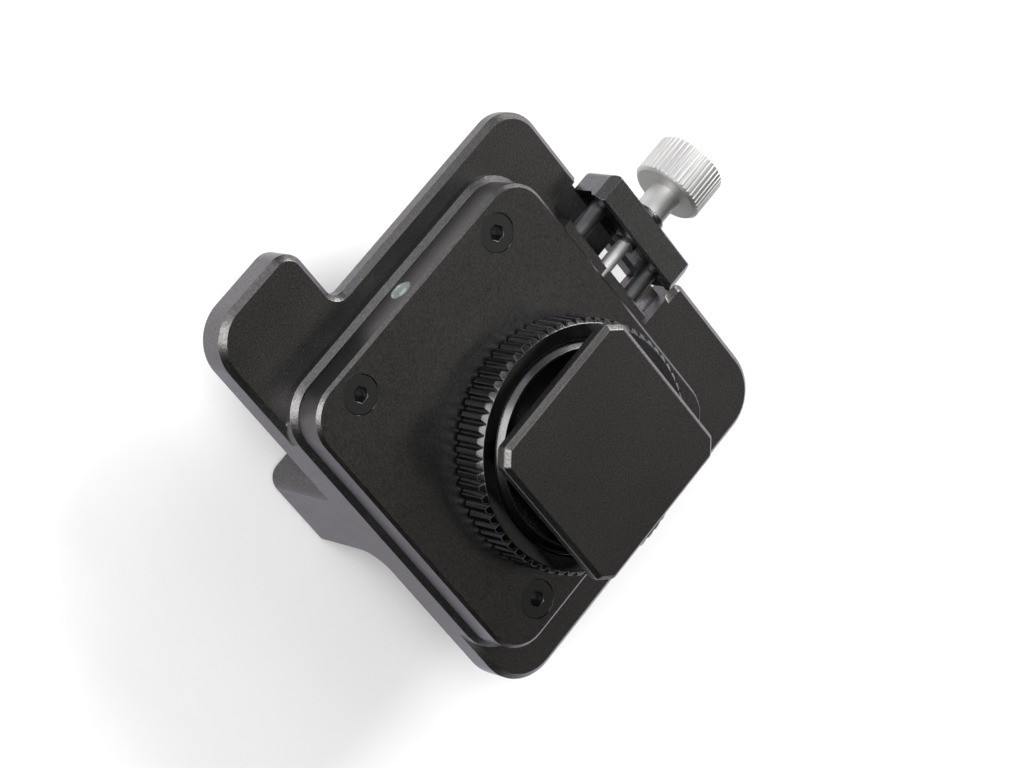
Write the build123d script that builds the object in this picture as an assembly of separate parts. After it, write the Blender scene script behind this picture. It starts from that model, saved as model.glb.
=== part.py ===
from build123d import *
import os
from math import acos, cos, pi, radians, sin, tan

# Star tracker mount: a motor-driven polar axis in a machined bracket, with a dovetail plate on
# the spindle, a knurled lock ring round it and a small screw clamp for a finder on one side.
# Millimetres. +Z is the polar axis, towards the dovetail plate. The origin is where that axis
# meets the rear face, at the mouth of the tripod socket. +Y points at the side tab.

os.makedirs("parts", exist_ok=True)

# --- Driving dimensions -----------------------------------------------------------------------
# Thicknesses along the polar axis
foot_height = 22.0
plate_thickness = 7.0
pad_height = 3.0
gasket_thickness = 0.25
cover_thickness = 6.75
ring_gap = 0.3
ring_height = 8.1
dovetail_standoff = 11.0
dovetail_thickness = 6.0

# Bracket outline, measured from the polar axis
edge_left = 38.4
edge_right_upper = 42.8
edge_right_lower = 46.6
edge_top = 52.8
edge_bottom = 37.1
step_y = -4.0
corner_large = 10.0
corner_top = 8.0
corner_step = 2.0
edge_chamfer = 1.2
tab_width = 25.5
tab_reach = 15.4
tab_corner_outer = 9.0
tab_corner_inner = 4.5
tab_root_fillet = 2.5
wing_thickness = 3.7

# Rear barrel and foot
barrel_wall = 2.5
web_thickness = 3.0
foot_low_y = 6.5
foot_width = 18.5
foot_edge_radius = 3.5
foot_rim_radius = 1.8
foot_root_fillet = 5.5

# Cover, its gasket and its screws
cover_length_x = 66.8
cover_length_y = 71.8
cover_y = 11.3
cover_corner = 8.0
cover_chamfer = 0.7
pad_chamfer = 1.15
cover_screw_inset_x = 12.1
cover_screw_inset_y = 6.0
cover_screw_radius = 2.0
cover_screw_head = 3.9
cover_screw_length = 11.0
cover_screw_hex = 2.9
cover_screw_sink = 0.2
gasket_inset = 0.8
gasket_band = 2.6

# Bearings: bore radius, outer radius, width, ball radius, number of balls
front_bearing = (6.0, 12.0, 6.0, 1.75, 11)
rear_bearing = (4.0, 8.0, 5.0, 1.15, 11)
bearing_lip = 0.75
ball_clearance = 0.06

# Gear train and motor
gear_module = 0.5
gear_teeth = 49
pinion_teeth = 16
gear_face = 3.0
gear_gap = 0.4
gear_hub_radius = 7.8
tooth_thinning = 0.08
motor_angle = 250.0
motor_radius = 6.0
motor_clearance = 0.25
motor_length = 8.2
motor_shaft_radius = 1.5
motor_plate_thickness = 1.5
motor_screw_reach = 9.0
motor_screw_radius = 1.0
motor_screw_head = 1.9

# Spindle, clutch and lock ring
spindle_step_radius = 8.0
clutch_radius = 22.6
clutch_thickness = 1.6
washer_thickness = 0.3
plate_boss_radius = 15.0
plate_screw_circle = 11.0
plate_screw_radius = 1.5
plate_screw_head = 2.8
plate_screw_length = 9.4
dowel_radius = 1.5
collar_flange = 2.0
collar_height = 4.6
collar_bore = 19.6
collar_foot_bore = 12.5
collar_screw_circle = 16.0
collar_screw_radius = 1.25
collar_screw_head = 2.3
collar_screw_length = 6.0
spindle_rim_radius = 20.9
spindle_rim_wall = 1.5
spindle_rim_height = 2.1
spindle_rim_chamfer = 1.1
ring_radius = 25.4
ring_thread_radius = 23.0
ring_lip_radius = 21.3
ring_lip_thickness = 1.5
ring_chamfer = 1.0
ring_back_chamfer = 0.4
ring_bore_chamfer = 0.4
ring_grooves = 68
groove_width = 1.35
groove_depth = 1.0

# Dovetail plate
dovetail_size = 38.0
dovetail_corner = 2.85
dovetail_corner_round = 1.5
dovetail_bevel = 1.0
dovetail_wall = 2.1

# Finder clamp
jaw_low_y = 1.1
jaw_length = 27.5
jaw_width = 6.5
jaw_height = 9.5
jaw_drop = 0.5
jaw_gap = 6.9
jaw_end_chamfer = 1.6
jaw_edge_chamfer = 0.4
jaw_groove_depth = 0.9
jaw_groove_height = 2.6
jaw_boss_radius = 3.8
jaw_boss_height = 1.1
jaw_travel = 2.0
fixed_jaw_gap = 3.45
fixed_jaw_depth = 8.0
fixed_jaw_height = 6.5
pin_radius = 1.9
pin_spacing = 18.4
pin_rise = 4.0
pin_seat = 7.4
pin_reach = 10.5
clamp_screw_radius = 1.5
clamp_screw_rise = 5.0
clamp_screw_seat = 5.5
clip_thickness = 0.5
clip_radius = 2.4
knob_radius = 7.6
knob_length = 9.5
knob_neck_radius = 3.3
knob_neck_length = 5.9
knob_flutes = 44
knob_flute_radius = 0.30
knob_flute_depth = 0.20
window_start = 3.0
window_x = 5.2
window_low_y = 2.6
window_length = 9.8
window_floor = 3.0
notch_start = 1.5
notch_margin = 1.2

# Rear cover and tripod bush
rear_floor = 6.0
rear_screw_inset = 5.0
rear_screw_start = 70.0
rear_screw_radius = 1.25
rear_screw_head = 2.4
rear_screw_length = 9.0
rear_lug_radius = 3.2
bush_bore_radius = 3.97
bush_radius = 5.8
bush_flange_radius = 6.6
bush_flange = 1.2
rear_boss_gap = 1.8
rear_boss_wall = 1.8
circlip_thickness = 0.7
circlip_rim = 1.3
spindle_tail = 1.4

# Electronics
battery_margin = 12.6
battery_width = 18.0
battery_height = 5.5
battery_inset_y = 13.0
board_margin = 6.6
board_width = 17.6
board_thickness = 1.2
board_ledge = 2.4
board_screw_radius = 0.8
board_screw_head = 1.4
chip_height = 1.4
pocket_roof = 3.0
lens_radius = 2.3
lens_length = 3.6
lens_x = -3.9
lens_rise = 2.75
button_x = 6.0
button_rise = 3.2
button_radius = 1.9
button_flange_radius = 2.3
button_proud = 0.9
button_travel = 0.5
socket_x = -16.0
socket_size = (9.0, 7.3, 3.3)
side_wall = 1.6

# Fits
running_clearance = 0.05
seat_clearance = 0.10
loose_clearance = 0.30
press_clearance = 0.01

# --- Levels and places worked out from the driving dimensions ---------------------------------
plate_back = foot_height
plate_face = plate_back + plate_thickness
pad_face = plate_face + pad_height
cover_base = pad_face + gasket_thickness
cover_face = cover_base + cover_thickness
gear_top = pad_face - gear_gap
gear_base = gear_top - gear_face
web_top = gear_base - gear_gap
web_base = web_top - web_thickness
motor_plate_base = web_base - motor_plate_thickness
motor_base = rear_floor + 2 * gear_gap
gearbox_base = motor_base + motor_length
ring_base = cover_face + ring_gap
ring_top = ring_base + ring_height
collar_top = cover_face + collar_height
clutch_base = collar_top + washer_thickness + running_clearance
clutch_top = clutch_base + clutch_thickness
dovetail_base = cover_face + dovetail_standoff
dovetail_face = dovetail_base + dovetail_thickness
front_bearing_top = cover_face - bearing_lip
front_bearing_base = front_bearing_top - front_bearing[2]
rear_bearing_base = rear_floor + bush_flange + rear_boss_gap
rear_bearing_top = rear_bearing_base + rear_bearing[2]
spindle_end = rear_bearing_base - spindle_tail
tab_right = tab_width - edge_left
cover_x = cover_length_x / 2 + pad_chamfer - edge_left
pad_length_x = cover_length_x + 2 * pad_chamfer
pad_length_y = cover_length_y + 2 * pad_chamfer
cover_low_y = cover_y - cover_length_y / 2
cover_high_y = cover_y + cover_length_y / 2
cover_right = cover_x + cover_length_x / 2
cover_screw_x = cover_length_x - 2 * cover_screw_inset_x
cover_screw_y = cover_length_y - 2 * cover_screw_inset_y
battery_size = (cover_screw_x - battery_margin, battery_width, battery_height)
board_size = (cover_screw_x - board_margin, board_width, board_thickness)
battery_x = cover_x
battery_y = cover_high_y - battery_inset_y
fixed_jaw_face = cover_right + fixed_jaw_gap
jaw_face = fixed_jaw_face + jaw_gap
jaw_back = jaw_face + jaw_width
jaw_base = plate_face - jaw_drop
jaw_top = jaw_base + jaw_height
jaw_high_y = jaw_low_y + jaw_length
jaw_mid_y = jaw_low_y + jaw_length / 2
fixed_jaw_top = plate_face + fixed_jaw_height
pin_z = plate_face + pin_rise
screw_z = plate_face + clamp_screw_rise
neck_start = jaw_back + jaw_boss_height + 2 * running_clearance
knob_start = neck_start + knob_neck_length
gear_distance = gear_module * (gear_teeth + pinion_teeth) / 2
cavity_radius = gear_distance + motor_radius + motor_clearance
barrel_radius = cavity_radius + barrel_wall
rear_cover_radius = barrel_radius - barrel_wall / 2
rear_screw_circle = barrel_radius - rear_screw_inset
gear_clear_radius = gear_module * (gear_teeth / 2 + 1) + loose_clearance
pinion_clear_radius = gear_module * (pinion_teeth / 2 + 1) + loose_clearance
motor_x = gear_distance * cos(radians(motor_angle))
motor_y = gear_distance * sin(radians(motor_angle))
battery_base = pad_face - board_size[2] - battery_size[2] - 2 * loose_clearance
board_base = pad_face - board_size[2] - loose_clearance / 2
pocket_top = cover_face - pocket_roof
lens_z = cover_base + lens_rise
button_z = cover_base + button_rise
BOTTOM = (Align.CENTER, Align.CENTER, Align.MIN)


# --- Shapes used by more than one piece -------------------------------------------------------
def save(shape, node):
    """Write one node, with all its solids in one file."""
    solids = shape.solids()
    export_step(solids[0] if len(solids) == 1 else Compound(solids), f"parts/{node}.step")


def rod(radius, low, high, x=0.0, y=0.0):
    """Round bar along Z between two levels."""
    return Pos(x, y, low) * Cylinder(radius, high - low, align=BOTTOM)


def tube(outer, inner, low, high, x=0.0, y=0.0):
    """Round tube along Z."""
    return rod(outer, low, high, x, y) - rod(inner, low - 1, high + 1, x, y)


def bar_x(radius, low, high, y, z):
    """Round bar along X."""
    return Pos(low, y, z) * Rot(0, 90, 0) * Cylinder(radius, high - low, align=BOTTOM)


def bar_y(radius, low, high, x, z):
    """Round bar along Y."""
    return Pos(x, low, z) * Rot(-90, 0, 0) * Cylinder(radius, high - low, align=BOTTOM)


def block(x0, x1, y0, y1, z0, z1):
    """Rectangular block between two corners."""
    return Pos((x0 + x1) / 2, (y0 + y1) / 2, (z0 + z1) / 2) * Box(x1 - x0, y1 - y0, z1 - z0)


def slab(length_x, length_y, corner, low, high, x, y):
    """Slab with rounded corners, centred at x, y."""
    return Pos(x, y, low) * extrude(RectangleRounded(length_x, length_y, corner), high - low)


def circle_places(radius, count, start=0.0):
    """Evenly spaced points on a circle round the polar axis."""
    angles = [radians(start + 360 * i / count) for i in range(count)]
    return [(radius * cos(a), radius * sin(a)) for a in angles]


def cover_screw_places():
    """Centres of the four cover screws."""
    return [(cover_x + side * cover_screw_x / 2, cover_y + end * cover_screw_y / 2)
            for side in (-1, 1) for end in (-1, 1)]


def motor_screw_places():
    """Centres of the two motor screws, one on each side of the motor's shaft."""
    along = radians(motor_angle + 90)
    return [(motor_x + side * motor_screw_reach * cos(along),
             motor_y + side * motor_screw_reach * sin(along)) for side in (-1, 1)]


def board_screw_places():
    """Centres of the two screws at the ends of the circuit board."""
    reach = board_size[0] / 2 - board_ledge / 2
    return [(battery_x + side * reach, battery_y) for side in (-1, 1)]


def pin_places():
    """Y of the two guide pins of the finder clamp."""
    return [jaw_mid_y - pin_spacing / 2, jaw_mid_y + pin_spacing / 2]


def countersunk(head, radius, length, hexagon=0.0):
    """Countersunk screw with its flat top at Z = 0, pointing down."""
    cone = head - radius
    screw = rod(radius, -length, -cone) + Pos(0, 0, -cone) * Cone(radius, head, cone, align=BOTTOM)
    if hexagon:
        socket = extrude(RegularPolygon(hexagon / 2, 6, major_radius=False), cone + 0.2)
        screw -= Pos(0, 0, -cone - 0.2) * socket
    return screw


def place_all(shape, places, level, flip=False):
    """Copies of one shape at each of the places, upside down if it points up."""
    turn = Rot(180, 0, 0) if flip else Rot(0, 0, 0)
    copies = [Pos(x, y, level) * turn * shape for x, y in places]
    return Compound([solid for copy_ in copies for solid in copy_.solids()])


def cut_holes(body, head, radius, depth, places, level, flip=False):
    """Countersunk holes for a set of screws, with the seat clearance all round."""
    hole = countersunk(head + seat_clearance, radius + seat_clearance, depth + seat_clearance)
    hole += rod(head + seat_clearance, 0, 1)
    turn = Rot(180, 0, 0) if flip else Rot(0, 0, 0)
    for x, y in places:
        body -= Pos(x, y, level) * turn * hole
    return body


def round_uprights(shape, x, y, radius):
    """Round the upright edge that stands at x, y."""
    edges = [e for e in shape.edges().filter_by(Axis.Z)
             if abs(e.center().X - x) < 0.01 and abs(e.center().Y - y) < 0.01]
    return fillet(edges, radius)


def gear_face_outline(teeth):
    """Spur gear outline with 20 degree teeth, one tooth centred on +X."""
    pitch = gear_module * teeth / 2
    tip = pitch + gear_module
    root = pitch - 1.25 * gear_module
    base = pitch * cos(radians(20))
    start = max(root, base)

    def involute(r):
        turn = acos(min(1.0, base / r))
        return tan(turn) - turn

    def half_angle(r):
        return pi / (2 * teeth) - tooth_thinning / (2 * pitch) + involute(pitch) - involute(r)

    def point(r, angle):
        return (r * cos(angle), r * sin(angle))

    edges = []
    levels = (start, (start + tip) / 2, tip)
    for i in range(teeth):
        mid = 2 * pi * i / teeth
        rise = [point(r, mid - half_angle(r)) for r in levels]
        fall = [point(r, mid + half_angle(r)) for r in reversed(levels)]
        foot_in = point(root, mid - half_angle(start))
        foot_out = point(root, mid + half_angle(start))
        foot_next = point(root, mid + 2 * pi / teeth - half_angle(start))
        if start > root:
            edges += [Line(foot_in, rise[0]), Line(fall[2], foot_out)]
        edges += [ThreePointArc(*rise), ThreePointArc(rise[2], point(tip, mid), fall[0]),
                  ThreePointArc(*fall), ThreePointArc(foot_out, point(root, mid + pi / teeth), foot_next)]
    return make_face(edges)


def race_groove(bearing, base):
    """Ring of the balls' path, with the ball clearance."""
    bore, outer, width, ball, _ = bearing
    path = Torus((bore + outer) / 2, ball + ball_clearance)
    return Pos(0, 0, base + width / 2) * path


def inner_race(bearing, base):
    """Inner race of a ball bearing."""
    bore, outer, width, ball, _ = bearing
    shoulder = (bore + outer) / 2 - ball * 0.6
    return tube(shoulder, bore, base, base + width) - race_groove(bearing, base)


def outer_race(bearing, base):
    """Outer race of a ball bearing."""
    bore, outer, width, ball, _ = bearing
    shoulder = (bore + outer) / 2 + ball * 0.6
    return tube(outer, shoulder, base, base + width) - race_groove(bearing, base)


def ball_set(bearing, base):
    """The balls of a ball bearing."""
    bore, outer, width, ball, count = bearing
    balls = [Pos(x, y, base + width / 2) * Sphere(ball)
             for x, y in circle_places((bore + outer) / 2, count)]
    return Compound([b.solid() for b in balls])


# --- Bracket ----------------------------------------------------------------------------------
def bracket_plate():
    """The flat plate with its tab, corners rounded and front edges chamfered."""
    upper = block(-edge_left, edge_right_upper, -edge_bottom, edge_top, plate_back, plate_face)
    lower = block(-edge_left, edge_right_lower, -edge_bottom, step_y, plate_back, plate_face)
    tab = block(-edge_left, tab_right, 0, edge_top + tab_reach, plate_back, plate_face)
    plate = upper + lower + tab
    corners = [(-edge_left, -edge_bottom, corner_large), (edge_right_lower, -edge_bottom, corner_large),
               (edge_right_lower, step_y, corner_step), (edge_right_upper, edge_top, corner_top),
               (-edge_left, edge_top + tab_reach, tab_corner_outer),
               (tab_right, edge_top + tab_reach, tab_corner_inner),
               (tab_right, edge_top, tab_root_fillet)]
    for x, y, radius in corners:
        plate = round_uprights(plate, x, y, radius)
    front = plate.faces().sort_by(Axis.Z)[-1]
    plate = chamfer(front.outer_wire().edges(), edge_chamfer)
    wing_low_y = cover_high_y + pad_chamfer - 1
    return plate - block(tab_right + edge_chamfer, edge_right_upper + 1, wing_low_y, edge_top + 1,
                         plate_back - 1, plate_face - wing_thickness)


def bracket_foot():
    """The foot behind the plate, with a fillet where its lower side meets the plate."""
    inner_x = -barrel_radius * 0.5
    foot = block(-edge_left, inner_x, foot_low_y, foot_low_y + foot_width, 0, foot_height + 1)
    foot = round_uprights(foot, -edge_left, foot_low_y + foot_width, foot_edge_radius)
    rim = [e for e in foot.faces().sort_by(Axis.Z)[0].outer_wire().edges() if e.center().X < inner_x - 1]
    foot = fillet(rim, foot_rim_radius)
    root_y = foot_low_y - foot_root_fillet
    root_z = foot_height - foot_root_fillet
    root = block(-edge_left, inner_x, root_y, foot_low_y + 1, root_z, foot_height + 1)
    return foot + (root - bar_x(foot_root_fillet, -edge_left - 1, inner_x + 1, root_y, root_z))


def fixed_jaw():
    """The fixed jaw of the finder clamp, which stands on the plate beside the cover."""
    jaw = block(fixed_jaw_face - fixed_jaw_depth, fixed_jaw_face, jaw_low_y, jaw_high_y,
                plate_face - 1, fixed_jaw_top)
    lip = [e for e in jaw.edges().filter_by(Axis.Y) if e.center().Z > fixed_jaw_top - 0.01]
    return chamfer(lip, jaw_edge_chamfer)


def build_bracket():
    """The machined main body: plate, tab, pad, barrel, foot and fixed jaw in one piece."""
    pad = slab(pad_length_x, pad_length_y, cover_corner + pad_chamfer,
               plate_face - edge_chamfer - 0.5, pad_face, cover_x, cover_y)
    pad = chamfer(pad.faces().sort_by(Axis.Z)[-1].outer_wire().edges(), pad_chamfer)
    body = bracket_plate() + pad + rod(barrel_radius, 0, plate_back + 1) + bracket_foot()

    body -= block(fixed_jaw_face + notch_start, edge_right_lower + 1, step_y,
                  jaw_high_y + notch_margin, plate_back + window_floor, pad_face + 1)
    body += fixed_jaw()
    window_low_x = fixed_jaw_face + window_start
    body -= block(window_low_x, window_low_x + window_x, window_low_y, window_low_y + window_length,
                  plate_back - 1, plate_face)

    body -= rod(cavity_radius, rear_floor, web_base)
    body -= rod(rear_cover_radius + seat_clearance, -1, rear_floor)
    body -= rod(gear_clear_radius, web_top, pad_face + 1)
    body -= rod(pinion_clear_radius, web_base - 1, pad_face + 1, motor_x, motor_y)
    body -= rod(spindle_step_radius + loose_clearance, web_base - 1, web_top + 1)
    for x, y in motor_screw_places():
        body -= rod(motor_screw_radius + seat_clearance, web_base - 1, web_top + 1, x, y)
        body -= rod(motor_screw_head + loose_clearance, web_top, pad_face + 1, x, y)

    for x, y in circle_places(rear_screw_circle, 3, rear_screw_start):
        lug = rod(rear_lug_radius, rear_floor, web_base + 1, x, y)
        reach = rear_screw_length - rear_floor + 1
        body += lug - rod(rear_screw_radius + seat_clearance, rear_floor - 1, rear_floor + reach, x, y)

    battery_room = [size + 2 * loose_clearance for size in battery_size[:2]]
    body -= slab(*battery_room, 1, battery_base - loose_clearance, pad_face + 1, battery_x, battery_y)
    board_room = [size + 2 * loose_clearance for size in board_size[:2]]
    body -= slab(*board_room, 1, board_base, pad_face + 1, battery_x, battery_y)
    for x, y in board_screw_places():
        body -= rod(board_screw_radius + press_clearance, board_base - 4, board_base + 1, x, y)

    hole_depth = cover_screw_length - cover_thickness + 2
    for x, y in cover_screw_places():
        body -= rod(cover_screw_radius + press_clearance, pad_face - hole_depth, pad_face + 1, x, y)
    for y in pin_places():
        body -= bar_x(pin_radius + press_clearance, fixed_jaw_face - pin_seat, fixed_jaw_face + 1,
                      y, pin_z)
    screw_depth = clamp_screw_seat + jaw_travel + 0.4
    body -= bar_x(clamp_screw_radius + running_clearance, fixed_jaw_face - screw_depth,
                  fixed_jaw_face + 1, jaw_mid_y, screw_z)
    return body


# --- Cover ------------------------------------------------------------------------------------
def build_cover():
    """The front cover: seats the front bearing and roofs the gear and board pockets."""
    cover = slab(cover_length_x, cover_length_y, cover_corner, cover_base, cover_face, cover_x, cover_y)
    cover = chamfer(cover.faces().sort_by(Axis.Z)[-1].outer_wire().edges(), cover_chamfer)
    cover -= rod(front_bearing[1] + press_clearance, cover_base - 1, front_bearing_top)
    cover -= rod(spindle_step_radius + 1.5, cover_base, cover_face + 1)
    cover = cut_holes(cover, cover_screw_head, cover_screw_radius, cover_thickness + 1,
                      cover_screw_places(), cover_face - cover_screw_sink)
    for x, y in circle_places(collar_screw_circle, 4, 45):
        cover -= rod(collar_screw_radius + press_clearance, cover_face - 4.6, cover_face + 1, x, y)

    jaw_low_x = fixed_jaw_face - fixed_jaw_depth - loose_clearance
    cover -= block(jaw_low_x, cover_right + 1, jaw_low_y - loose_clearance,
                   jaw_high_y + loose_clearance, cover_base - 1, fixed_jaw_top + loose_clearance)
    board_room = [size + 2 * loose_clearance for size in board_size[:2]]
    cover -= slab(*board_room, 1, cover_base - 1, pocket_top, battery_x, battery_y)
    cover -= bar_y(lens_radius + press_clearance, battery_y, cover_high_y + 1, lens_x, lens_z)

    width, depth, height = socket_size
    socket_base = cover_base + 1.4
    cover -= block(socket_x - width / 2 - press_clearance, socket_x + width / 2 + press_clearance,
                   cover_low_y - 1, cover_low_y + depth, socket_base - press_clearance,
                   socket_base + height + press_clearance)
    cover -= bar_y(button_radius + running_clearance, cover_low_y - 1, cover_low_y + 3,
                   button_x, button_z)
    switch_room = button_flange_radius + loose_clearance
    cover -= block(button_x - switch_room, button_x + switch_room, cover_low_y + side_wall,
                   cover_low_y + side_wall + 6, cover_base - 1, button_z + switch_room)
    return cover


def build_gasket():
    """The flat gasket between bracket and cover, open where the fixed jaw stands."""
    outer = [size - 2 * gasket_inset for size in (cover_length_x, cover_length_y)]
    inner = [size - 2 * gasket_band for size in outer]
    corner = cover_corner - gasket_inset
    gasket = slab(*outer, corner, pad_face, cover_base, cover_x, cover_y)
    gasket -= slab(*inner, corner - gasket_band, pad_face - 1, cover_base + 1, cover_x, cover_y)
    return gasket - block(fixed_jaw_face - fixed_jaw_depth - loose_clearance, fixed_jaw_face,
                          jaw_low_y - loose_clearance, jaw_high_y + loose_clearance,
                          pad_face - 1, cover_base + 1)


# --- Rear cover, bush and bearings ------------------------------------------------------------
def build_rear_cover():
    """The rear cover: closes the barrel, seats the rear bearing and holds the tripod bush."""
    cover = rod(rear_cover_radius, 0, rear_floor)
    cover += rod(rear_bearing[1] + rear_boss_wall, rear_floor - 1, rear_bearing_top)
    cover -= rod(rear_bearing[1] + press_clearance, rear_bearing_base, rear_bearing_top + 1)
    cover -= rod(bush_flange_radius + press_clearance, rear_floor, rear_bearing_base + 1)
    cover -= rod(bush_radius + press_clearance, -1, rear_floor + 1)
    return cut_holes(cover, rear_screw_head, rear_screw_radius, rear_floor + 1,
                     circle_places(rear_screw_circle, 3, rear_screw_start), 0, flip=True)


def build_bush():
    """The threaded steel bush of the tripod socket, flanged inside the rear cover."""
    bush = rod(bush_radius, 0, rear_floor + bush_flange)
    bush += rod(bush_flange_radius, rear_floor, rear_floor + bush_flange)
    return bush - rod(bush_bore_radius, -1, rear_floor + bush_flange + 1)


# --- Spindle and what turns with it -----------------------------------------------------------
def build_spindle():
    """The spindle: rear journal, gear seat, front journal, clutch disc and plate boss."""
    spindle = rod(rear_bearing[0], spindle_end, rear_bearing_top)
    spindle += rod(front_bearing[0], rear_bearing_top, front_bearing_top)
    spindle += rod(spindle_step_radius, front_bearing_top, clutch_top)
    spindle += rod(clutch_radius, clutch_base, clutch_top)
    spindle += rod(plate_boss_radius, clutch_top, dovetail_base)
    rim = rod(spindle_rim_radius, clutch_top - 0.5, clutch_top + spindle_rim_height)
    rim = chamfer(rim.edges().group_by(Axis.Z)[-1], spindle_rim_chamfer)
    spindle += rim - rod(spindle_rim_radius - spindle_rim_wall, clutch_top - 1, dovetail_base)
    groove_base = rear_bearing_base - circlip_thickness
    spindle -= tube(rear_bearing[0] + 1, rear_bearing[0] - 0.4, groove_base, rear_bearing_base)
    spindle = cut_holes(spindle, plate_screw_head, plate_screw_radius,
                        dovetail_base - clutch_base + 1, circle_places(plate_screw_circle, 4),
                        clutch_base, flip=True)
    for x, y in circle_places(plate_screw_circle, 2, 45):
        spindle -= rod(dowel_radius + press_clearance, dovetail_base - 3, dovetail_base + 1, x, y)
    return spindle


def build_dovetail_plate():
    """The square dovetail plate, bevelled on its face and undercut behind."""
    wall_low = dovetail_face - dovetail_bevel - dovetail_wall
    undercut = wall_low - dovetail_base
    outline = chamfer(Rectangle(dovetail_size, dovetail_size).vertices(), dovetail_corner)
    outline = fillet(outline.vertices(), dovetail_corner_round)
    wall = Pos(0, 0, wall_low) * extrude(outline, dovetail_face - wall_low)
    wall = chamfer(wall.faces().sort_by(Axis.Z)[-1].outer_wire().edges(), dovetail_bevel)
    foot = dovetail_size - 2 * undercut
    base = loft([Pos(0, 0, wall_low) * outline,
                 Pos(0, 0, dovetail_base) * scale(outline, foot / dovetail_size)])
    plate = wall + base
    depth = plate_screw_length - (dovetail_base - clutch_base) + 0.5
    for x, y in circle_places(plate_screw_circle, 4):
        plate -= rod(plate_screw_radius + press_clearance, dovetail_base - 1, dovetail_base + depth, x, y)
    for x, y in circle_places(plate_screw_circle, 2, 45):
        plate -= rod(dowel_radius + press_clearance, dovetail_base - 1, dovetail_base + 3.2, x, y)
    return plate


def build_drive_gear():
    """The gear on the spindle, with a hub that spaces it from the front bearing."""
    gear = Pos(0, 0, gear_base) * extrude(Rot(0, 0, motor_angle) * gear_face_outline(gear_teeth), gear_face)
    gear += rod(gear_hub_radius, gear_top - 1, front_bearing_base)
    return gear - rod(front_bearing[0], gear_base - 1, front_bearing_base + 1)


def build_pinion():
    """The motor's pinion, turned so that a gap faces the gear's tooth."""
    turn = motor_angle + 180 + 180 / pinion_teeth
    pinion = extrude(Rot(0, 0, turn) * gear_face_outline(pinion_teeth), gear_face)
    pinion = Pos(motor_x, motor_y, gear_base) * pinion
    return pinion - rod(motor_shaft_radius, gear_base - 1, gear_top + 1, motor_x, motor_y)


# --- Motor ------------------------------------------------------------------------------------
def build_gearbox():
    """The motor's reduction gearbox, a closed round unit with a bore for its output shaft."""
    box = rod(motor_radius, gearbox_base, motor_plate_base, motor_x, motor_y)
    return box - rod(motor_shaft_radius + running_clearance, motor_plate_base - 5,
                     motor_plate_base + 1, motor_x, motor_y)


def build_motor_plate():
    """The two-eared plate that fixes the gearbox under the bracket's web."""
    length = 2 * (motor_screw_reach + motor_screw_head)
    ears = SlotOverall(length, 2 * motor_screw_head)
    middle = Circle(motor_radius)
    plate = extrude(ears + middle, motor_plate_thickness)
    plate = Pos(motor_x, motor_y, motor_plate_base) * Rot(0, 0, motor_angle + 90) * plate
    plate -= rod(motor_shaft_radius + loose_clearance, motor_plate_base - 1, web_base + 1,
                 motor_x, motor_y)
    for x, y in motor_screw_places():
        plate -= rod(motor_screw_radius + press_clearance, motor_plate_base - 1, web_base + 1, x, y)
    return plate


def build_motor_screws():
    """Two pan-headed screws through the web into the motor plate."""
    length = web_thickness + motor_plate_thickness
    screw = rod(motor_screw_radius, -length, 0) + rod(motor_screw_head, 0, 0.9)
    screw -= Pos(0, 0, 0.4) * Box(4, 0.5, 1, align=BOTTOM)
    return place_all(screw, motor_screw_places(), web_top)


# --- Lock ring and its collar -----------------------------------------------------------------
def build_collar():
    """The threaded collar on the cover that the lock ring turns on."""
    outer = ring_thread_radius - running_clearance
    collar = tube(outer, collar_bore, cover_face, collar_top)
    collar += tube(collar_bore + 1, collar_foot_bore, cover_face, cover_face + collar_flange)
    return cut_holes(collar, collar_screw_head, collar_screw_radius, collar_flange + 1,
                     circle_places(collar_screw_circle, 4, 45), cover_face + collar_flange)


def build_lock_ring():
    """The lock ring, cut with V grooves round its rim, whose lip presses the clutch disc."""
    ring = rod(ring_radius, ring_base, ring_top)
    ring = chamfer(ring.edges().group_by(Axis.Z)[-1], ring_chamfer)
    ring = chamfer(ring.edges().group_by(Axis.Z)[0], ring_back_chamfer)
    ring -= rod(ring_thread_radius, ring_base - 1, ring_top - ring_lip_thickness)
    ring -= rod(ring_lip_radius, ring_base, ring_top + 1)
    ring -= Pos(0, 0, ring_top - ring_bore_chamfer) * Cone(
        ring_lip_radius, ring_lip_radius + 2 * ring_bore_chamfer, 2 * ring_bore_chamfer, align=BOTTOM)
    rim = ring_radius - groove_depth
    outside = ring_radius + groove_depth
    profile = Polyline((rim, 0), (outside, -groove_width), (outside, groove_width), (rim, 0))
    groove = Pos(0, 0, ring_base - 1) * extrude(make_face(profile), ring_height + 2)
    return ring - [Rot(0, 0, 360 * i / ring_grooves) * groove for i in range(ring_grooves)]


def build_clutch_washers():
    """The two thin washers that bear on the rim of the clutch disc."""
    lower = tube(clutch_radius, collar_bore, collar_top + running_clearance / 2,
                 clutch_base - running_clearance / 2)
    upper = tube(clutch_radius, ring_lip_radius, clutch_top, clutch_top + washer_thickness)
    return Compound([lower.solid(), upper.solid()])


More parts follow.
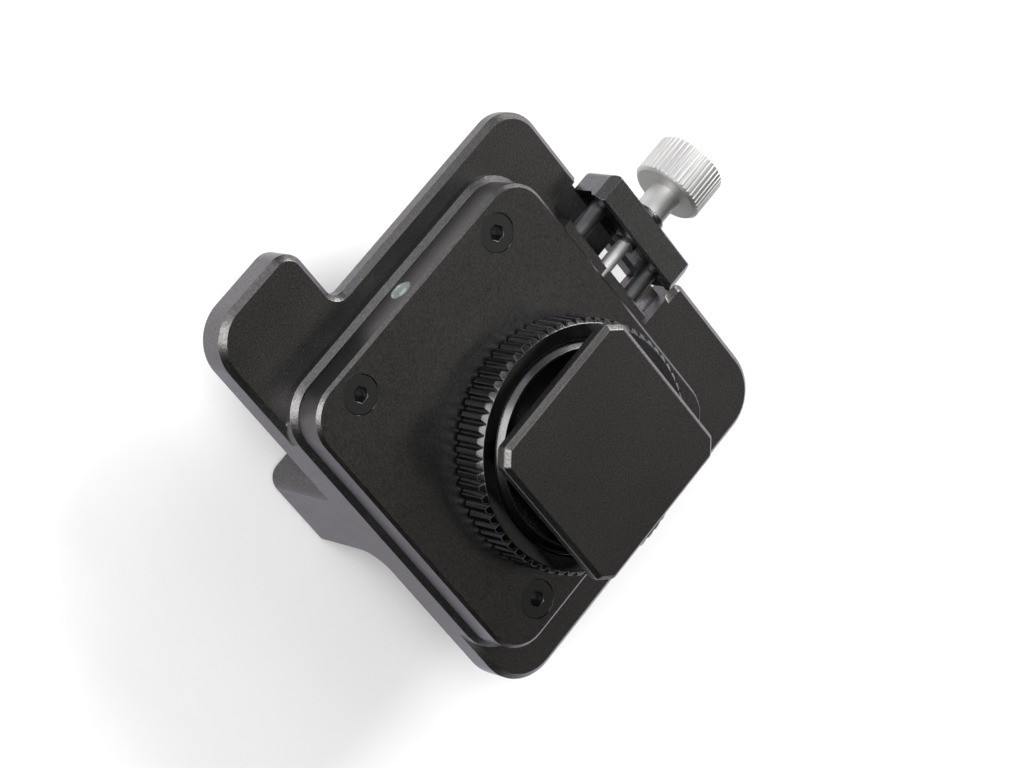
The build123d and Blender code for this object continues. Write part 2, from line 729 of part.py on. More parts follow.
# --- Finder clamp -----------------------------------------------------------------------------
def build_jaw():
    """The moving jaw, grooved on its gripping face and bossed round its screw."""
    jaw = block(jaw_face, jaw_back, jaw_low_y, jaw_high_y, jaw_base, jaw_top)
    ends = [e for e in jaw.edges().filter_by(Axis.X) if e.center().Z > jaw_top - 0.01]
    jaw = chamfer(ends, jaw_end_chamfer)
    outer = [e for e in jaw.edges().filter_by(Axis.Z) if e.center().X > jaw_back - 0.01]
    jaw = fillet(outer, jaw_end_chamfer)
    rim = [e for e in jaw.edges().filter_by(Axis.Y) if e.center().Z > jaw_top - 0.01]
    jaw = chamfer(rim, jaw_edge_chamfer)
    jaw += bar_x(jaw_boss_radius, jaw_back - 1, jaw_back + jaw_boss_height, jaw_mid_y, screw_z)

    groove_z = jaw_top - jaw_groove_height
    profile = Polyline((jaw_face - 1, groove_z + 1), (jaw_face, groove_z),
                       (jaw_face + jaw_groove_depth, groove_z - jaw_groove_depth),
                       (jaw_face + jaw_groove_depth, jaw_base - 1), (jaw_face - 1, jaw_base - 1),
                       close=True)
    groove = Plane.XZ * make_face(profile)
    jaw -= Pos(0, jaw_low_y - 1, 0) * extrude(groove, -(jaw_length + 2))

    for y in pin_places():
        jaw -= bar_x(pin_radius + running_clearance, jaw_face - 1,
                     fixed_jaw_face + pin_reach + jaw_travel + 0.4, y, pin_z)
    return jaw - bar_x(clamp_screw_radius + running_clearance, jaw_face - 1, jaw_back + 5,
                       jaw_mid_y, screw_z)


def build_knob():
    """The clamp screw with its neck and its straight-knurled head."""
    knob = bar_x(knob_radius, knob_start, knob_start + knob_length, jaw_mid_y, screw_z)
    rims = knob.edges().filter_by(GeomType.CIRCLE)
    knob = chamfer(rims, 0.7)
    flute_circle = knob_radius + knob_flute_radius - knob_flute_depth
    flutes = [bar_x(knob_flute_radius, knob_start - 1, knob_start + knob_length + 1,
                    jaw_mid_y + y, screw_z + z)
              for y, z in circle_places(flute_circle, knob_flutes)]
    knob -= flutes
    knob += bar_x(knob_neck_radius, neck_start, knob_start + 1, jaw_mid_y, screw_z)
    knob += bar_x(clamp_screw_radius, fixed_jaw_face - clamp_screw_seat, neck_start + 1,
                  jaw_mid_y, screw_z)
    clip_end = jaw_face - running_clearance
    groove = bar_x(clamp_screw_radius + 1, clip_end - clip_thickness, clip_end, jaw_mid_y, screw_z)
    groove -= bar_x(clamp_screw_radius - 0.25, clip_end - 2, clip_end + 2, jaw_mid_y, screw_z)
    return knob - groove


def build_knob_clip():
    """The open spring clip that holds the screw in the moving jaw."""
    clip_end = jaw_face - running_clearance
    clip = bar_x(clip_radius, clip_end - clip_thickness, clip_end, jaw_mid_y, screw_z)
    clip -= bar_x(clamp_screw_radius - 0.25, clip_end - 2, clip_end + 2, jaw_mid_y, screw_z)
    return clip - block(clip_end - 2, clip_end + 2, jaw_mid_y - 0.7, jaw_mid_y + 0.7,
                        screw_z, screw_z + clip_radius + 1)


def build_guide_pins():
    """The two guide pins pressed into the fixed jaw."""
    pins = [bar_x(pin_radius, fixed_jaw_face - pin_seat, fixed_jaw_face + pin_reach, y, pin_z)
            for y in pin_places()]
    return Compound([chamfer(p.edges().filter_by(GeomType.CIRCLE), 0.3).solid() for p in pins])


# --- Electronics ------------------------------------------------------------------------------
def build_board():
    """The circuit board, screwed to the ledges of its pocket."""
    width, depth, thickness = board_size
    board = slab(width, depth, 1, board_base, board_base + thickness, battery_x, battery_y)
    for x, y in board_screw_places():
        board -= rod(board_screw_radius + seat_clearance, board_base - 1, pad_face + 1, x, y)
    return board


def build_chips():
    """The driver, the controller and the light source on the circuit board."""
    top = board_base + board_size[2]
    driver = block(battery_x - 12, battery_x - 5, battery_y - 4, battery_y + 3, top, top + chip_height)
    controller = block(battery_x + 3, battery_x + 12, battery_y - 5, battery_y + 4, top, top + chip_height)
    source = block(lens_x - 1, lens_x + 1, battery_y + 5.5, battery_y + 8, top, top + 2 * chip_height)
    return Compound([driver.solid(), controller.solid(), source.solid()])


def build_socket():
    """The charging socket's metal shell, open towards the lower side wall."""
    width, depth, height = socket_size
    base = cover_base + 1.4
    middle = Pos(socket_x, cover_low_y + 0.2, base + height / 2) * Rot(-90, 0, 0)
    shell = middle * extrude(SlotOverall(width, height), depth - 0.2)
    mouth = middle * extrude(SlotOverall(width - 0.6, height - 0.6), depth - 1.2)
    tongue = block(socket_x - 3.2, socket_x + 3.2, cover_low_y + 1, cover_low_y + depth - 0.9,
                   base + height / 2 - 0.35, base + height / 2 + 0.35)
    return shell - mouth + tongue


def build_button():
    """The power button's cap, held behind the side wall by its flange."""
    flange_y = cover_low_y + side_wall + running_clearance
    cap = bar_y(button_radius, cover_low_y - button_proud, flange_y + 1, button_x, button_z)
    cap = fillet([e for e in cap.edges().filter_by(GeomType.CIRCLE)
                  if e.center().Y < cover_low_y], 0.4)
    return cap + bar_y(button_flange_radius, flange_y, flange_y + 0.8, button_x, button_z)


def build_switch():
    """The small switch that the power button presses at the end of its travel."""
    face = cover_low_y + side_wall + running_clearance + 1 + button_travel + running_clearance
    body = block(button_x - 2.6, button_x + 2.6, face, cover_low_y + side_wall + 6 - press_clearance,
                 cover_base + 0.6, cover_face - 1.2)
    return body


def build_all():
    """Write every node."""
    cover_screw = countersunk(cover_screw_head, cover_screw_radius, cover_screw_length, cover_screw_hex)
    collar_screw = countersunk(collar_screw_head, collar_screw_radius, collar_screw_length, 1.5)
    rear_screw = countersunk(rear_screw_head, rear_screw_radius, rear_screw_length, 1.5)
    plate_screw = countersunk(plate_screw_head, plate_screw_radius, plate_screw_length, 2.0)
    board_screw = rod(board_screw_radius, -4, 0) + rod(board_screw_head, 0, 0.7)
    dowel = rod(dowel_radius, -3, 3)

    save(build_bracket(), "bracket")
    save(build_cover(), "housing_cover")
    save(build_gasket(), "cover_gasket")
    save(place_all(cover_screw, cover_screw_places(), cover_face - cover_screw_sink), "cover_screws")
    save(build_rear_cover(), "rear_cover")
    save(place_all(rear_screw, circle_places(rear_screw_circle, 3, rear_screw_start), 0, flip=True),
         "rear_cover_screws")
    save(build_bush(), "tripod_bush")

    for name, bearing, base in (("front_bearing", front_bearing, front_bearing_base),
                                ("rear_bearing", rear_bearing, rear_bearing_base)):
        save(inner_race(bearing, base), f"{name}_inner")
        save(outer_race(bearing, base), f"{name}_outer")
        save(ball_set(bearing, base), f"{name}_balls")

    save(build_spindle(), "spindle")
    save(tube(rear_bearing[0] + circlip_rim, rear_bearing[0] - 0.4,
              rear_bearing_base - circlip_thickness, rear_bearing_base), "spindle_circlip")
    save(build_dovetail_plate(), "dovetail_plate")
    save(place_all(plate_screw, circle_places(plate_screw_circle, 4), clutch_base, flip=True),
         "dovetail_screws")
    save(place_all(dowel, circle_places(plate_screw_circle, 2, 45), dovetail_base), "dovetail_dowels")
    save(build_drive_gear(), "drive_gear")
    save(build_clutch_washers(), "clutch_washers")

    save(build_pinion(), "motor_pinion")
    save(rod(motor_shaft_radius, motor_plate_base - 5 + running_clearance, gear_top, motor_x, motor_y),
         "motor_shaft")
    save(rod(motor_radius, motor_base, gearbox_base, motor_x, motor_y), "motor_can")
    save(build_gearbox(), "motor_gearbox")
    save(build_motor_plate(), "motor_plate")
    save(build_motor_screws(), "motor_screws")

    save(build_collar(), "threaded_collar")
    save(place_all(collar_screw, circle_places(collar_screw_circle, 4, 45), cover_face + collar_flange),
         "collar_screws")
    save(build_lock_ring(), "lock_ring")

    save(build_jaw(), "clamp_jaw")
    save(build_knob(), "clamp_knob")
    save(build_knob_clip(), "clamp_knob_clip")
    save(build_guide_pins(), "clamp_guide_pins")

    width, depth, height = battery_size
    save(slab(width, depth, 1, battery_base, battery_base + height, battery_x, battery_y), "battery")
    save(build_board(), "circuit_board")
    save(build_chips(), "board_chips")
    save(place_all(board_screw, board_screw_places(), board_base + board_size[2]), "board_screws")
    save(bar_y(lens_radius, cover_high_y - lens_length, cover_high_y, lens_x, lens_z), "status_lens")
    save(build_socket(), "charging_socket")
    save(build_button(), "power_button")
    save(build_switch(), "power_switch")


build_all()
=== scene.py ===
from math import cos, pi, radians, sin

import bmesh
import bpy
from mathutils import Matrix, Quaternion, Vector


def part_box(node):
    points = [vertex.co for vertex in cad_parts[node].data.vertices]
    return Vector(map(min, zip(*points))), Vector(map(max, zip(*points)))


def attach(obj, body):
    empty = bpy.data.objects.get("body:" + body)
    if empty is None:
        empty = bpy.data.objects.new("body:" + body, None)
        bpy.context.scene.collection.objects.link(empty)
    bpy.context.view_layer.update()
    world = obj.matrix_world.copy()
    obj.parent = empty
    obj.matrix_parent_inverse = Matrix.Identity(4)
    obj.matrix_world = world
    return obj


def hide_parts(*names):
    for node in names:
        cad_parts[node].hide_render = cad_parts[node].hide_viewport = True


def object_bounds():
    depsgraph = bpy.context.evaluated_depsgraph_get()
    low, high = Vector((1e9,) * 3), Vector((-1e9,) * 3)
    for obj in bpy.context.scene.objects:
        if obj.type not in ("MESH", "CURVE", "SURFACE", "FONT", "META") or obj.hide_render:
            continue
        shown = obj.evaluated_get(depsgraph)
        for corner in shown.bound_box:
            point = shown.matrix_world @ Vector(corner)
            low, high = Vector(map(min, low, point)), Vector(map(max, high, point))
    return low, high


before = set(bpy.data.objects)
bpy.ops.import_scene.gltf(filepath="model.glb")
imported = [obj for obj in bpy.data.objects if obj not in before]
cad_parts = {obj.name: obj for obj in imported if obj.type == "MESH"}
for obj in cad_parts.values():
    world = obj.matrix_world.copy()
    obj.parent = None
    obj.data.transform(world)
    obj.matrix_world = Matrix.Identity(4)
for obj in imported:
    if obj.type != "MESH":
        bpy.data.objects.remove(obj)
cad_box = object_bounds()
for leftover in [o for o in bpy.data.objects if o.type in ("LIGHT", "CAMERA")]:
    bpy.data.objects.remove(leftover)


# --- Bracket ----------------------------------------------------------------------------------
# The main body is milled from one block of aluminium: plate, tab, foot, rear barrel and fixed
# jaw. Every outer edge is broken by hand, then it is bead-blasted and dyed black in the bath.
class Wire:
    """One value in a finish: an output that can be used in arithmetic."""

    def __init__(self, tree, socket):
        self.tree = tree
        self.socket = socket

    def _math(self, operation, first, second):
        node = self.tree.nodes.new("ShaderNodeMath")
        node.operation = operation
        for socket, value in zip(node.inputs, (first, second)):
            plug(self.tree, socket, value)
        return Wire(self.tree, node.outputs[0])

    def __add__(self, other):
        return self._math("ADD", self, other)

    def __radd__(self, other):
        return self._math("ADD", other, self)

    def __sub__(self, other):
        return self._math("SUBTRACT", self, other)

    def __rsub__(self, other):
        return self._math("SUBTRACT", other, self)

    def __mul__(self, other):
        return self._math("MULTIPLY", self, other)

    def __rmul__(self, other):
        return self._math("MULTIPLY", other, self)

    def __gt__(self, other):
        return self._math("GREATER_THAN", self, other)


def plug(tree, socket, value):
    """Links a wire into a socket, or sets a plain value on it."""
    if isinstance(value, Wire):
        tree.links.new(value.socket, socket)
    else:
        socket.default_value = value


class Finish:
    """One material while it is built: a shader, and the nodes that feed it."""

    def __init__(self, name, **constants):
        self.material = bpy.data.materials.new(name)
        self.material.use_nodes = True
        self.tree = self.material.node_tree
        self.shader = self.tree.nodes["Principled BSDF"]
        for socket, value in constants.items():
            self.shader.inputs[socket.replace("_", " ")].default_value = value
        self.place = self.node("ShaderNodeTexCoord", output="Object")

    def node(self, kind, settings=None, inputs=None, output=0):
        """Adds one node: its settings first, then the values or links of its sockets."""
        node = self.tree.nodes.new(kind)
        for setting, value in (settings or {}).items():
            if setting == "stops":
                for stop, (at, shade) in zip(node.color_ramp.elements, value):
                    stop.position = at
                    stop.color = shade
            else:
                setattr(node, setting, value)
        for socket, value in (inputs or {}).items():
            plug(self.tree, node.inputs[socket], value)
        return Wire(self.tree, node.outputs[output])

    def noise(self, size, detail=2.0, roughness=0.55, place=None):
        """Soft random cloud from 0 to 1, whose features are about that many metres across."""
        where = self.place if place is None else place
        return self.node("ShaderNodeTexNoise", inputs={
            "Vector": where, "Scale": 1 / size, "Detail": detail, "Roughness": roughness})

    def stretched(self, ratio):
        """The object's place, drawn out along the axes by the given shares."""
        return self.node("ShaderNodeMapping", inputs={"Vector": self.place, "Scale": ratio})

    def blend(self, share, first, second):
        """A colour between two colours."""
        return self.node("ShaderNodeMix", {"data_type": "RGBA"}, {0: share, 6: first, 7: second}, 2)

    def relief(self, height, depth):
        """Turns a height from 0 to 1 into dents of that depth in metres."""
        normal = self.node("ShaderNodeBump",
                           inputs={"Height": height, "Distance": depth, "Strength": 1.0})
        plug(self.tree, self.shader.inputs["Normal"], normal)

    def paint(self, colour, roughness):
        """Gives the shader its colour and roughness, and hands over the material."""
        plug(self.tree, self.shader.inputs["Base Color"], colour)
        plug(self.tree, self.shader.inputs["Roughness"], roughness)
        return self.material


def shade(level, warmth=0.0):
    """A grey as a colour, a little warm or cold."""
    return (level * (1 + warmth), level, level * (1 - warmth), 1.0)


def anodised(name, dye, roughness, blast_size, blast_depth, warmth=0.0, bare=0.30):
    """Bead-blasted aluminium, dyed black: a fine satin grain, and edges rubbed a little lighter."""
    finish = Finish(name, Metallic=1.0, Specular_Tint=(0.90, 0.87, 0.96, 1.0))
    blast = finish.noise(blast_size, 3.0, 0.65)
    bath = finish.noise(0.021, 3.0, 0.5)
    touch = finish.noise(0.0064, 5.0, 0.62)
    rubbed = finish.node("ShaderNodeAttribute", {"attribute_name": "worn"}, output="Fac")
    nicks = finish.noise(0.0011, 4.0, 0.7)
    wear = rubbed * (nicks - 0.30) * 0.30
    specks = finish.noise(0.00042, 1.0, 0.5) > 0.735
    grit = (blast - 0.5) * 2.6 + bath * 0.5 + 0.25
    body = finish.blend(grit, shade(dye * 0.72, warmth), shade(dye * 1.28, warmth * 0.6))
    body = finish.blend(specks * 0.16, body, shade(bare))
    body = finish.blend(wear, body, shade(bare, 0.01))
    satin = roughness + (bath - 0.5) * 0.07 + (touch - 0.5) * 0.10 + (blast - 0.5) * 0.08 + rubbed * 0.07
    finish.relief(blast * 0.8 + nicks * rubbed * 0.6 + specks * 0.06, blast_depth)
    return finish.paint(body, satin)


merge_distance = 2e-6
flat_within = radians(0.6)
sharp_above = radians(28.0)
edge_segments = 2


def machined(node, body, slot, edge, material):
    """The node's shape again as one clean mesh, with its outer edges broken to that radius."""
    bm = bmesh.new()
    bm.from_mesh(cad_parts[node].data)
    bmesh.ops.remove_doubles(bm, verts=bm.verts, dist=merge_distance)
    bmesh.ops.dissolve_limit(bm, angle_limit=flat_within, use_dissolve_boundaries=False,
                             verts=bm.verts, edges=bm.edges, delimit={"NORMAL"})
    sharp = [e for e in bm.edges
             if e.is_manifold and e.is_convex and e.calc_face_angle(0.0) > sharp_above]
    worn = bm.faces.layers.float.new("worn")
    broken = bmesh.ops.bevel(bm, geom=sharp, offset=edge, offset_type="OFFSET", segments=edge_segments,
                             profile=0.5, affect="EDGES", clamp_overlap=True, material=-1)
    for face in broken["faces"]:
        face[worn] = 1.0
    return shown(bm, node + "_finished", body, slot, material, node)


def shown(bm, name, body, slot, material, *nodes, smooth=50.0):
    """Makes a finished mesh into a piece that rides on its body and stands for CAD nodes."""
    for face in bm.faces:
        face.smooth = True
    mesh = bpy.data.meshes.new(name)
    bm.to_mesh(mesh)
    bm.free()
    mesh.set_sharp_from_angle(angle=radians(smooth))
    mesh.materials.append(material)
    piece = bpy.data.objects.new(name, mesh)
    bpy.context.collection.objects.link(piece)
    even = piece.modifiers.new("even_shading", "WEIGHTED_NORMAL")
    even.keep_sharp = True
    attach(piece, body)
    if nodes:
        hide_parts(*nodes)
    return piece


bracket_black = anodised("bracket_anodised", 0.115, 0.32, 0.00042, 0.000060, 0.03)
machined("bracket", "mount_frame", "bracket_finish", 0.00022, bracket_black)


# --- Motor ------------------------------------------------------------------------------------
# A small geared motor hangs behind the web: a drawn steel can, a turned gear case, a stamped
# plate with two ears, two cap screws, and a ground shaft that carries the hobbed steel pinion.
def tinted(colour, share, lift=0.0):
    """The colour made darker or lighter by that share, as a shader takes it."""
    return tuple(min(c * share + lift, 1.0) for c in colour) + (1.0,)


def metal(name, colour, roughness, grain, ratio, depth):
    """Bare or plated metal, with tool marks drawn out along one direction."""
    finish = Finish(name, Metallic=1.0)
    marks = finish.noise(grain, 3.0, 0.7, finish.stretched(ratio))
    hands = finish.noise(0.0052, 4.0, 0.6)
    tone = finish.noise(0.013, 2.0, 0.5)
    rubbed = finish.node("ShaderNodeAttribute", {"attribute_name": "worn"}, output="Fac")
    body = finish.blend(tone * 0.6 + marks * 0.4, tinted(colour, 0.88), tinted(colour, 1.07))
    body = finish.blend(rubbed * (0.25 + hands * 0.3), body, tinted(colour, 1.35, 0.02))
    finish.relief(marks * 0.8 + hands * 0.2, depth)
    return finish.paint(body, roughness + (marks - 0.5) * 0.14 + (hands - 0.5) * 0.10)


def coat_nodes(material, *nodes):
    """Gives the carried-over CAD nodes their finish."""
    for node in nodes:
        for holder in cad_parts[node].material_slots:
            holder.material = material


can_steel = metal("motor_can_steel", (0.60, 0.60, 0.61), 0.27, 0.00030, (1.0, 1.0, 14.0), 0.000006)
pinion_steel = metal("pinion_steel", (0.55, 0.55, 0.56), 0.24, 0.00022, (1.0, 1.0, 0.15), 0.000005)
black_oxide = metal("black_oxide_steel", (0.055, 0.055, 0.058), 0.36, 0.00035, (1.0, 1.0, 1.0), 0.000008)
coat_nodes(can_steel, "motor_can", "motor_gearbox", "motor_plate")
coat_nodes(pinion_steel, "motor_shaft", "motor_pinion")
coat_nodes(black_oxide, "motor_screws")


# --- Battery and circuit board ----------------------------------------------------------------
# A flat lithium cell in blue shrink wrap lies under the cover with the control board above it.
# The board is glass laminate under green mask, and carries moulded packages and two small screws.
def moulded(name, colour, roughness, grain, depth, coat=0.0):
    """Moulded plastic: a fine mould texture, soft colour drift and a few scuffs."""
    finish = Finish(name, Coat_Weight=coat)
    skin = finish.noise(grain, 3.0, 0.6)
    drift = finish.noise(0.009, 2.0, 0.5)
    scuff = finish.noise(0.0016, 5.0, 0.72, finish.stretched((1.0, 0.25, 1.0)))
    body = finish.blend(drift * 0.7 + skin * 0.3, tinted(colour, 0.86), tinted(colour, 1.14, 0.004))
    finish.relief(skin * 0.8 + scuff * 0.2, depth)
    return finish.paint(body, roughness + (scuff - 0.5) * 0.16 + (skin - 0.5) * 0.08)


battery_wrap = moulded("battery_shrink_wrap", (0.10, 0.22, 0.42), 0.24, 0.0011, 0.00004, 0.4)
board_mask = moulded("board_solder_mask", (0.02, 0.16, 0.07), 0.30, 0.00062, 0.00001, 0.5)
chip_black = moulded("chip_package", (0.02, 0.02, 0.022), 0.55, 0.00016, 0.000012)
coat_nodes(battery_wrap, "battery")
coat_nodes(board_mask, "circuit_board")
coat_nodes(chip_black, "board_chips")
coat_nodes(black_oxide, "board_screws")


# --- Charging socket and power button ---------------------------------------------------------
# The socket's drawn and plated shell sits flush in the low side wall of the cover. The button is
# moulded black, slides in a bored hole beside it and presses the small switch behind.
plated_shell = metal("socket_plated_shell", (0.70, 0.70, 0.69), 0.22, 0.00028, (0.2, 1.0, 1.0), 0.000004)
button_black = moulded("button_moulding", (0.045, 0.045, 0.047), 0.48, 0.00020, 0.000014)
switch_black = moulded("switch_moulding", (0.08, 0.08, 0.085), 0.42, 0.00026, 0.000012)
machined("charging_socket", "mount_frame", "silver_steel", 0.00010, plated_shell)
machined("power_button", "button", "button_black", 0.00025, button_black)
coat_nodes(switch_black, "power_switch")


# --- Spindle, bearings and drive gear ---------------------------------------------------------
# The turned spindle runs in two deep-groove ball bearings, rear one small, front one large. The
# brass gear is hobbed and pressed on it against the step. A black circlip holds the rear inner race.
bearing_steel = metal("bearing_steel", (0.78, 0.78, 0.80), 0.12, 0.00020, (1.0, 1.0, 9.0), 0.000002)
gear_brass = metal("gear_brass", (0.74, 0.56, 0.27), 0.28, 0.00024, (1.0, 1.0, 0.12), 0.000006)
spindle_black = anodised("spindle_anodised", 0.080, 0.26, 0.00026, 0.000008)
coat_nodes(bearing_steel, "rear_bearing_inner", "rear_bearing_outer", "rear_bearing_balls",
           "front_bearing_inner", "front_bearing_outer", "front_bearing_balls")
coat_nodes(gear_brass, "drive_gear")
machined("spindle", "polar_assembly", "spindle_finish", 0.00010, spindle_black)
coat_nodes(black_oxide, "spindle_circlip")


# --- Cover, gasket and cover screws -----------------------------------------------------------
# The cover is a second milled block, finer blasted than the bracket. A thin black rubber gasket
# lies under it, and four countersunk screws with hexagon sockets hold it down.
gasket_rubber = moulded("gasket_rubber", (0.03, 0.03, 0.03), 0.72, 0.00030, 0.000030)
coat_nodes(gasket_rubber, "cover_gasket")
cover_black = anodised("cover_anodised", 0.112, 0.31, 0.00040, 0.000060, 0.03)
machined("housing_cover", "mount_frame", "cover_finish", 0.00018, cover_black)
screw_black = metal("screw_black_oxide", (0.085, 0.084, 0.084), 0.33, 0.00024, (1.0, 1.0, 1.0), 0.000010)
machined("cover_screws", "mount_frame", "black_steel", 0.00012, screw_black)


# --- Status light -----------------------------------------------------------------------------
# A clear moulded light guide, pushed into the cover's side wall beside the tab. It has a thin
# rounded rim, a shallow moat inside it and a low dome in the middle.
guide_low, guide_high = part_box("status_lens")
guide_middle = (guide_low + guide_high) / 2
guide_radius = (guide_high.x - guide_low.x) / 2
guide_length = guide_high.y - guide_low.y
guide_sink = 0.00012
guide_gap = 0.00002
guide_sides = 56
rim_step = (0.00022, 0.0)
moat_steps = ((0.00020, -0.00022), (0.00035, -0.00004))
dome_steps = ((0.00060, 0.00012), (0.00055, 0.00005))

bm = bmesh.new()
bmesh.ops.create_circle(bm, cap_ends=True, cap_tris=False, segments=guide_sides,
                        radius=guide_radius - guide_gap)
tube_end = bmesh.ops.extrude_face_region(bm, geom=bm.faces[:])["geom"]
bmesh.ops.translate(bm, verts=[v for v in tube_end if isinstance(v, bmesh.types.BMVert)],
                    vec=(0, 0, guide_length - guide_sink))
cap = next(f for f in tube_end if isinstance(f, bmesh.types.BMFace))
for inset, lift in (rim_step, *moat_steps, *dome_steps):
    bmesh.ops.inset_individual(bm, faces=[cap], thickness=inset, depth=lift)
bmesh.ops.rotate(bm, verts=bm.verts, cent=(0, 0, 0), matrix=Matrix.Rotation(-pi / 2, 3, "X"))
bmesh.ops.translate(bm, verts=bm.verts, vec=(guide_middle.x, guide_low.y, guide_middle.z))
bmesh.ops.recalc_face_normals(bm, faces=bm.faces)

guide = Finish("light_guide_clear", Coat_Weight=0.6, Coat_Roughness=0.08, Subsurface_Weight=0.2)
flow = guide.noise(0.0011, 3.0, 0.6)
haze = guide.noise(0.00030, 3.0, 0.6)
guide.relief(flow * 0.7 + haze * 0.3, 0.00003)
guide.paint(guide.blend(flow, (0.10, 0.105, 0.10, 1.0), (0.30, 0.31, 0.30, 1.0)), 0.16 + haze * 0.22)
shown(bm, "status_light", "mount_frame", "lens_clear", guide.material, "status_lens", smooth=38.0)


# --- Rear cover and tripod bush ---------------------------------------------------------------
# The round rear cover closes the barrel and carries the rear bearing. The tripod bush is turned
# from stainless steel and pressed into it. Three countersunk screws hold the cover.
rear_black = anodised("rear_cover_anodised", 0.160, 0.38, 0.00030, 0.000016, 0.012)
machined("rear_cover", "mount_frame", "rear_cover_finish", 0.00020, rear_black)
bush_steel = metal("bush_stainless", (0.66, 0.65, 0.63), 0.25, 0.00026, (1.0, 1.0, 11.0), 0.000005)
machined("tripod_bush", "mount_frame", "silver_steel", 0.00015, bush_steel)
machined("rear_cover_screws", "mount_frame", "black_steel", 0.00010, screw_black)


# --- Collar, clutch and dovetail plate --------------------------------------------------------
# The collar is screwed to the cover round the spindle. Two thin plastic washers let the clutch
# disc slip. The square plate is screwed and dowelled to the spindle's boss from behind.
collar_black = anodised("collar_anodised", 0.14, 0.32, 0.00022, 0.000010)
washer_white = moulded("washer_low_friction", (0.80, 0.79, 0.74), 0.42, 0.00024, 0.000006)
pin_steel = metal("pin_ground_steel", (0.115, 0.115, 0.12), 0.42, 0.00030, (0.1, 1.0, 1.0), 0.000004)
coat_nodes(collar_black, "threaded_collar")
coat_nodes(black_oxide, "collar_screws")
coat_nodes(washer_white, "clutch_washers")
coat_nodes(pin_steel, "dovetail_dowels")
coat_nodes(black_oxide, "dovetail_screws")
dovetail_black = anodised("dovetail_anodised", 0.112, 0.32, 0.00040, 0.000060, 0.04)
machined("dovetail_plate", "polar_assembly", "dovetail_finish", 0.00020, dovetail_black)


# --- Lock ring --------------------------------------------------------------------------------
# The ring is turned, then its rim is cut all round with fine V grooves for the fingers, and
# its edges are broken. It turns on the collar's thread and its lip presses the clutch.
ring_black = anodised("ring_anodised", 0.052, 0.22, 0.00034, 0.000016, 0.0)
machined("lock_ring", "lock_ring_body", "ring_finish", 0.00014, ring_black)


# --- Finder clamp -----------------------------------------------------------------------------
# A milled jaw slides on two ground pins pressed into the fixed jaw. The clamp screw and its
# straight-knurled head are turned from one bar of stainless steel; a circlip holds it in the jaw.
jaw_black = anodised("jaw_anodised", 0.115, 0.28, 0.00036, 0.000018, 0.0)
machined("clamp_jaw", "moving_jaw", "jaw_finish", 0.00018, jaw_black)
machined("clamp_guide_pins", "mount_frame", "pin_steel", 0.00020, pin_steel)
knob_silver = metal("knob_satin_steel", (0.54, 0.535, 0.53), 0.52, 0.00026, (9.0, 1.0, 1.0), 0.000006)
machined("clamp_knob", "knob", "silver_steel", 0.00007, knob_silver)
coat_nodes(black_oxide, "clamp_knob_clip")


# --- Studio -----------------------------------------------------------------------------------
# A pale sweep under the mount, large soft panels low on the finder's side and above the tab, and
# two faint panels whose sheen lies on the flat faces. The camera looks down from beyond the tab.
floor_reach = 3.0
floor_gap = 0.00005
floor_tone = Finish("studio_floor", Specular_IOR_Level=0.2)
weave = floor_tone.noise(0.004, 3.0, 0.6)
floor_tone.relief(weave, 0.00001)
floor_tone.paint(floor_tone.blend(weave, shade(0.86), shade(0.88)), 0.85 + weave * 0.1)
bm = bmesh.new()
bmesh.ops.create_grid(bm, x_segments=8, y_segments=8, size=floor_reach)
floor_mesh = bpy.data.meshes.new("floor")
bm.to_mesh(floor_mesh)
bm.free()
floor_mesh.materials.append(floor_tone.material)
floor = bpy.data.objects.new("floor", floor_mesh)
floor.location.z = cad_box[0].z - floor_gap
bpy.context.collection.objects.link(floor)

middle = (cad_box[0] + cad_box[1]) / 2


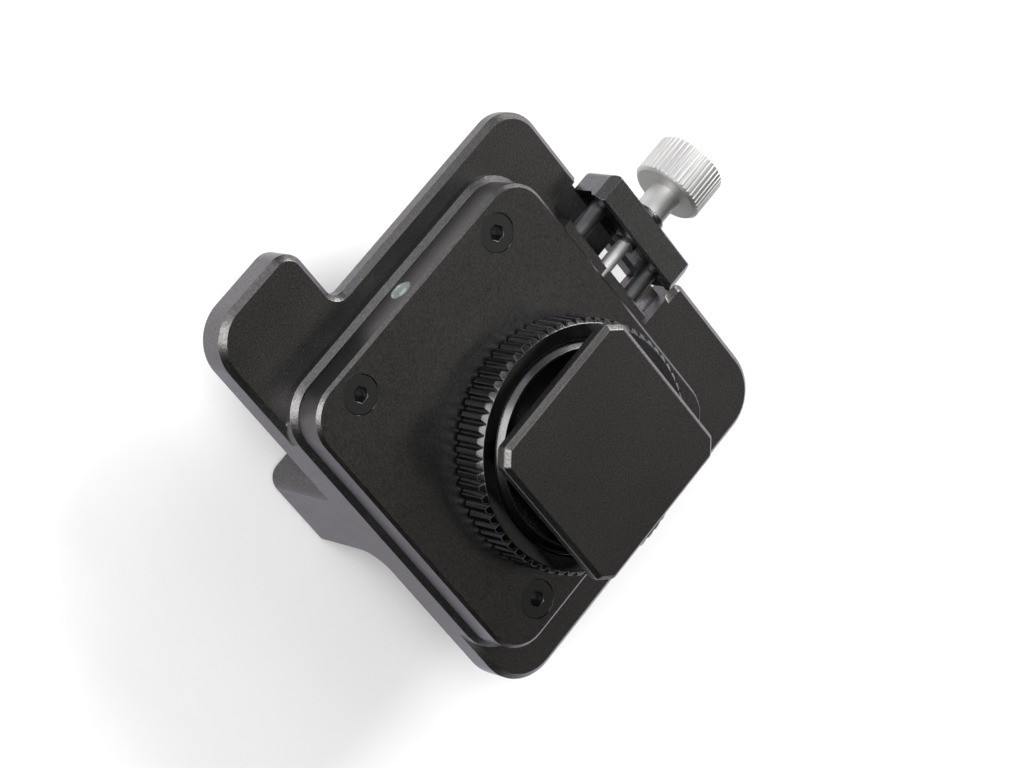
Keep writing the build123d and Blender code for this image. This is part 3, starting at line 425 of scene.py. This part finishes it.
def panel(name, direction, distance, width, height, power, tint=(1.0, 1.0, 1.0)):
    """A soft rectangular light that faces the middle of the object."""
    lamp = bpy.data.lights.new(name, "AREA")
    lamp.shape = "RECTANGLE"
    lamp.size = width
    lamp.size_y = height
    lamp.energy = power
    lamp.color = tint
    holder = bpy.data.objects.new(name, lamp)
    toward = Vector(direction).normalized()
    holder.location = middle + toward * distance
    holder.rotation_mode = "QUATERNION"
    holder.rotation_quaternion = toward.to_track_quat("Z", "Y")
    bpy.context.collection.objects.link(holder)


panel("key_softbox", (0.85, 0.35, 0.85), 1.5, 1.2, 1.2, 4.4)
panel("low_softbox", (0.95, 0.10, 0.50), 1.5, 0.9, 0.6, 30.0)
panel("ceiling_softbox", (-0.32, 0.40, 0.86), 1.8, 1.4, 1.4, 20.0)
panel("front_softbox", (-0.50, 0.70, 0.60), 1.8, 1.2, 1.2, 24.0)
panel("tab_panel", (0.10, 0.90, 0.35), 1.5, 0.7, 0.7, 3.0, (0.97, 0.96, 1.0))
panel("side_wall_panel", (0.33, 0.81, 0.44), 1.6, 1.4, 0.7, 1.0, (0.96, 0.95, 1.0))
panel("sheen_above", (0.325, -0.48, 0.80), 1.5, 0.36, 0.36, 0.27, (1.0, 0.98, 0.95))
panel("sheen_beside", (0.55, -0.45, 0.70), 1.5, 0.36, 0.36, 0.34, (1.0, 0.98, 0.95))

world = bpy.data.worlds.new("studio_air")
world.use_nodes = True
air = world.node_tree.nodes["Background"]
air.inputs["Color"].default_value = (1.0, 1.0, 1.0, 1.0)
air.inputs["Strength"].default_value = 0.006
bpy.context.scene.world = world
bpy.context.scene.view_settings.view_transform = "Standard"

look_at = Vector((0.0038, 0.0113, 0.0290))
camera_distance = 0.6666
camera_azimuth = radians(124.0)
camera_elevation = radians(54.5)
camera_roll = radians(100.7)
back = Vector((cos(camera_azimuth) * cos(camera_elevation),
               sin(camera_azimuth) * cos(camera_elevation), sin(camera_elevation)))
lens_data = bpy.data.cameras.new("studio_camera")
lens_data.sensor_width = 36.0
lens_data.lens = 118.4
lens_data.clip_start = 0.05
lens_data.clip_end = 20.0
camera = bpy.data.objects.new("studio_camera", lens_data)
camera.location = look_at + back * camera_distance
camera.rotation_mode = "QUATERNION"
camera.rotation_quaternion = back.to_track_quat("Z", "Y") @ Quaternion((0, 0, 1), camera_roll)
bpy.context.collection.objects.link(camera)
bpy.context.scene.camera = camera
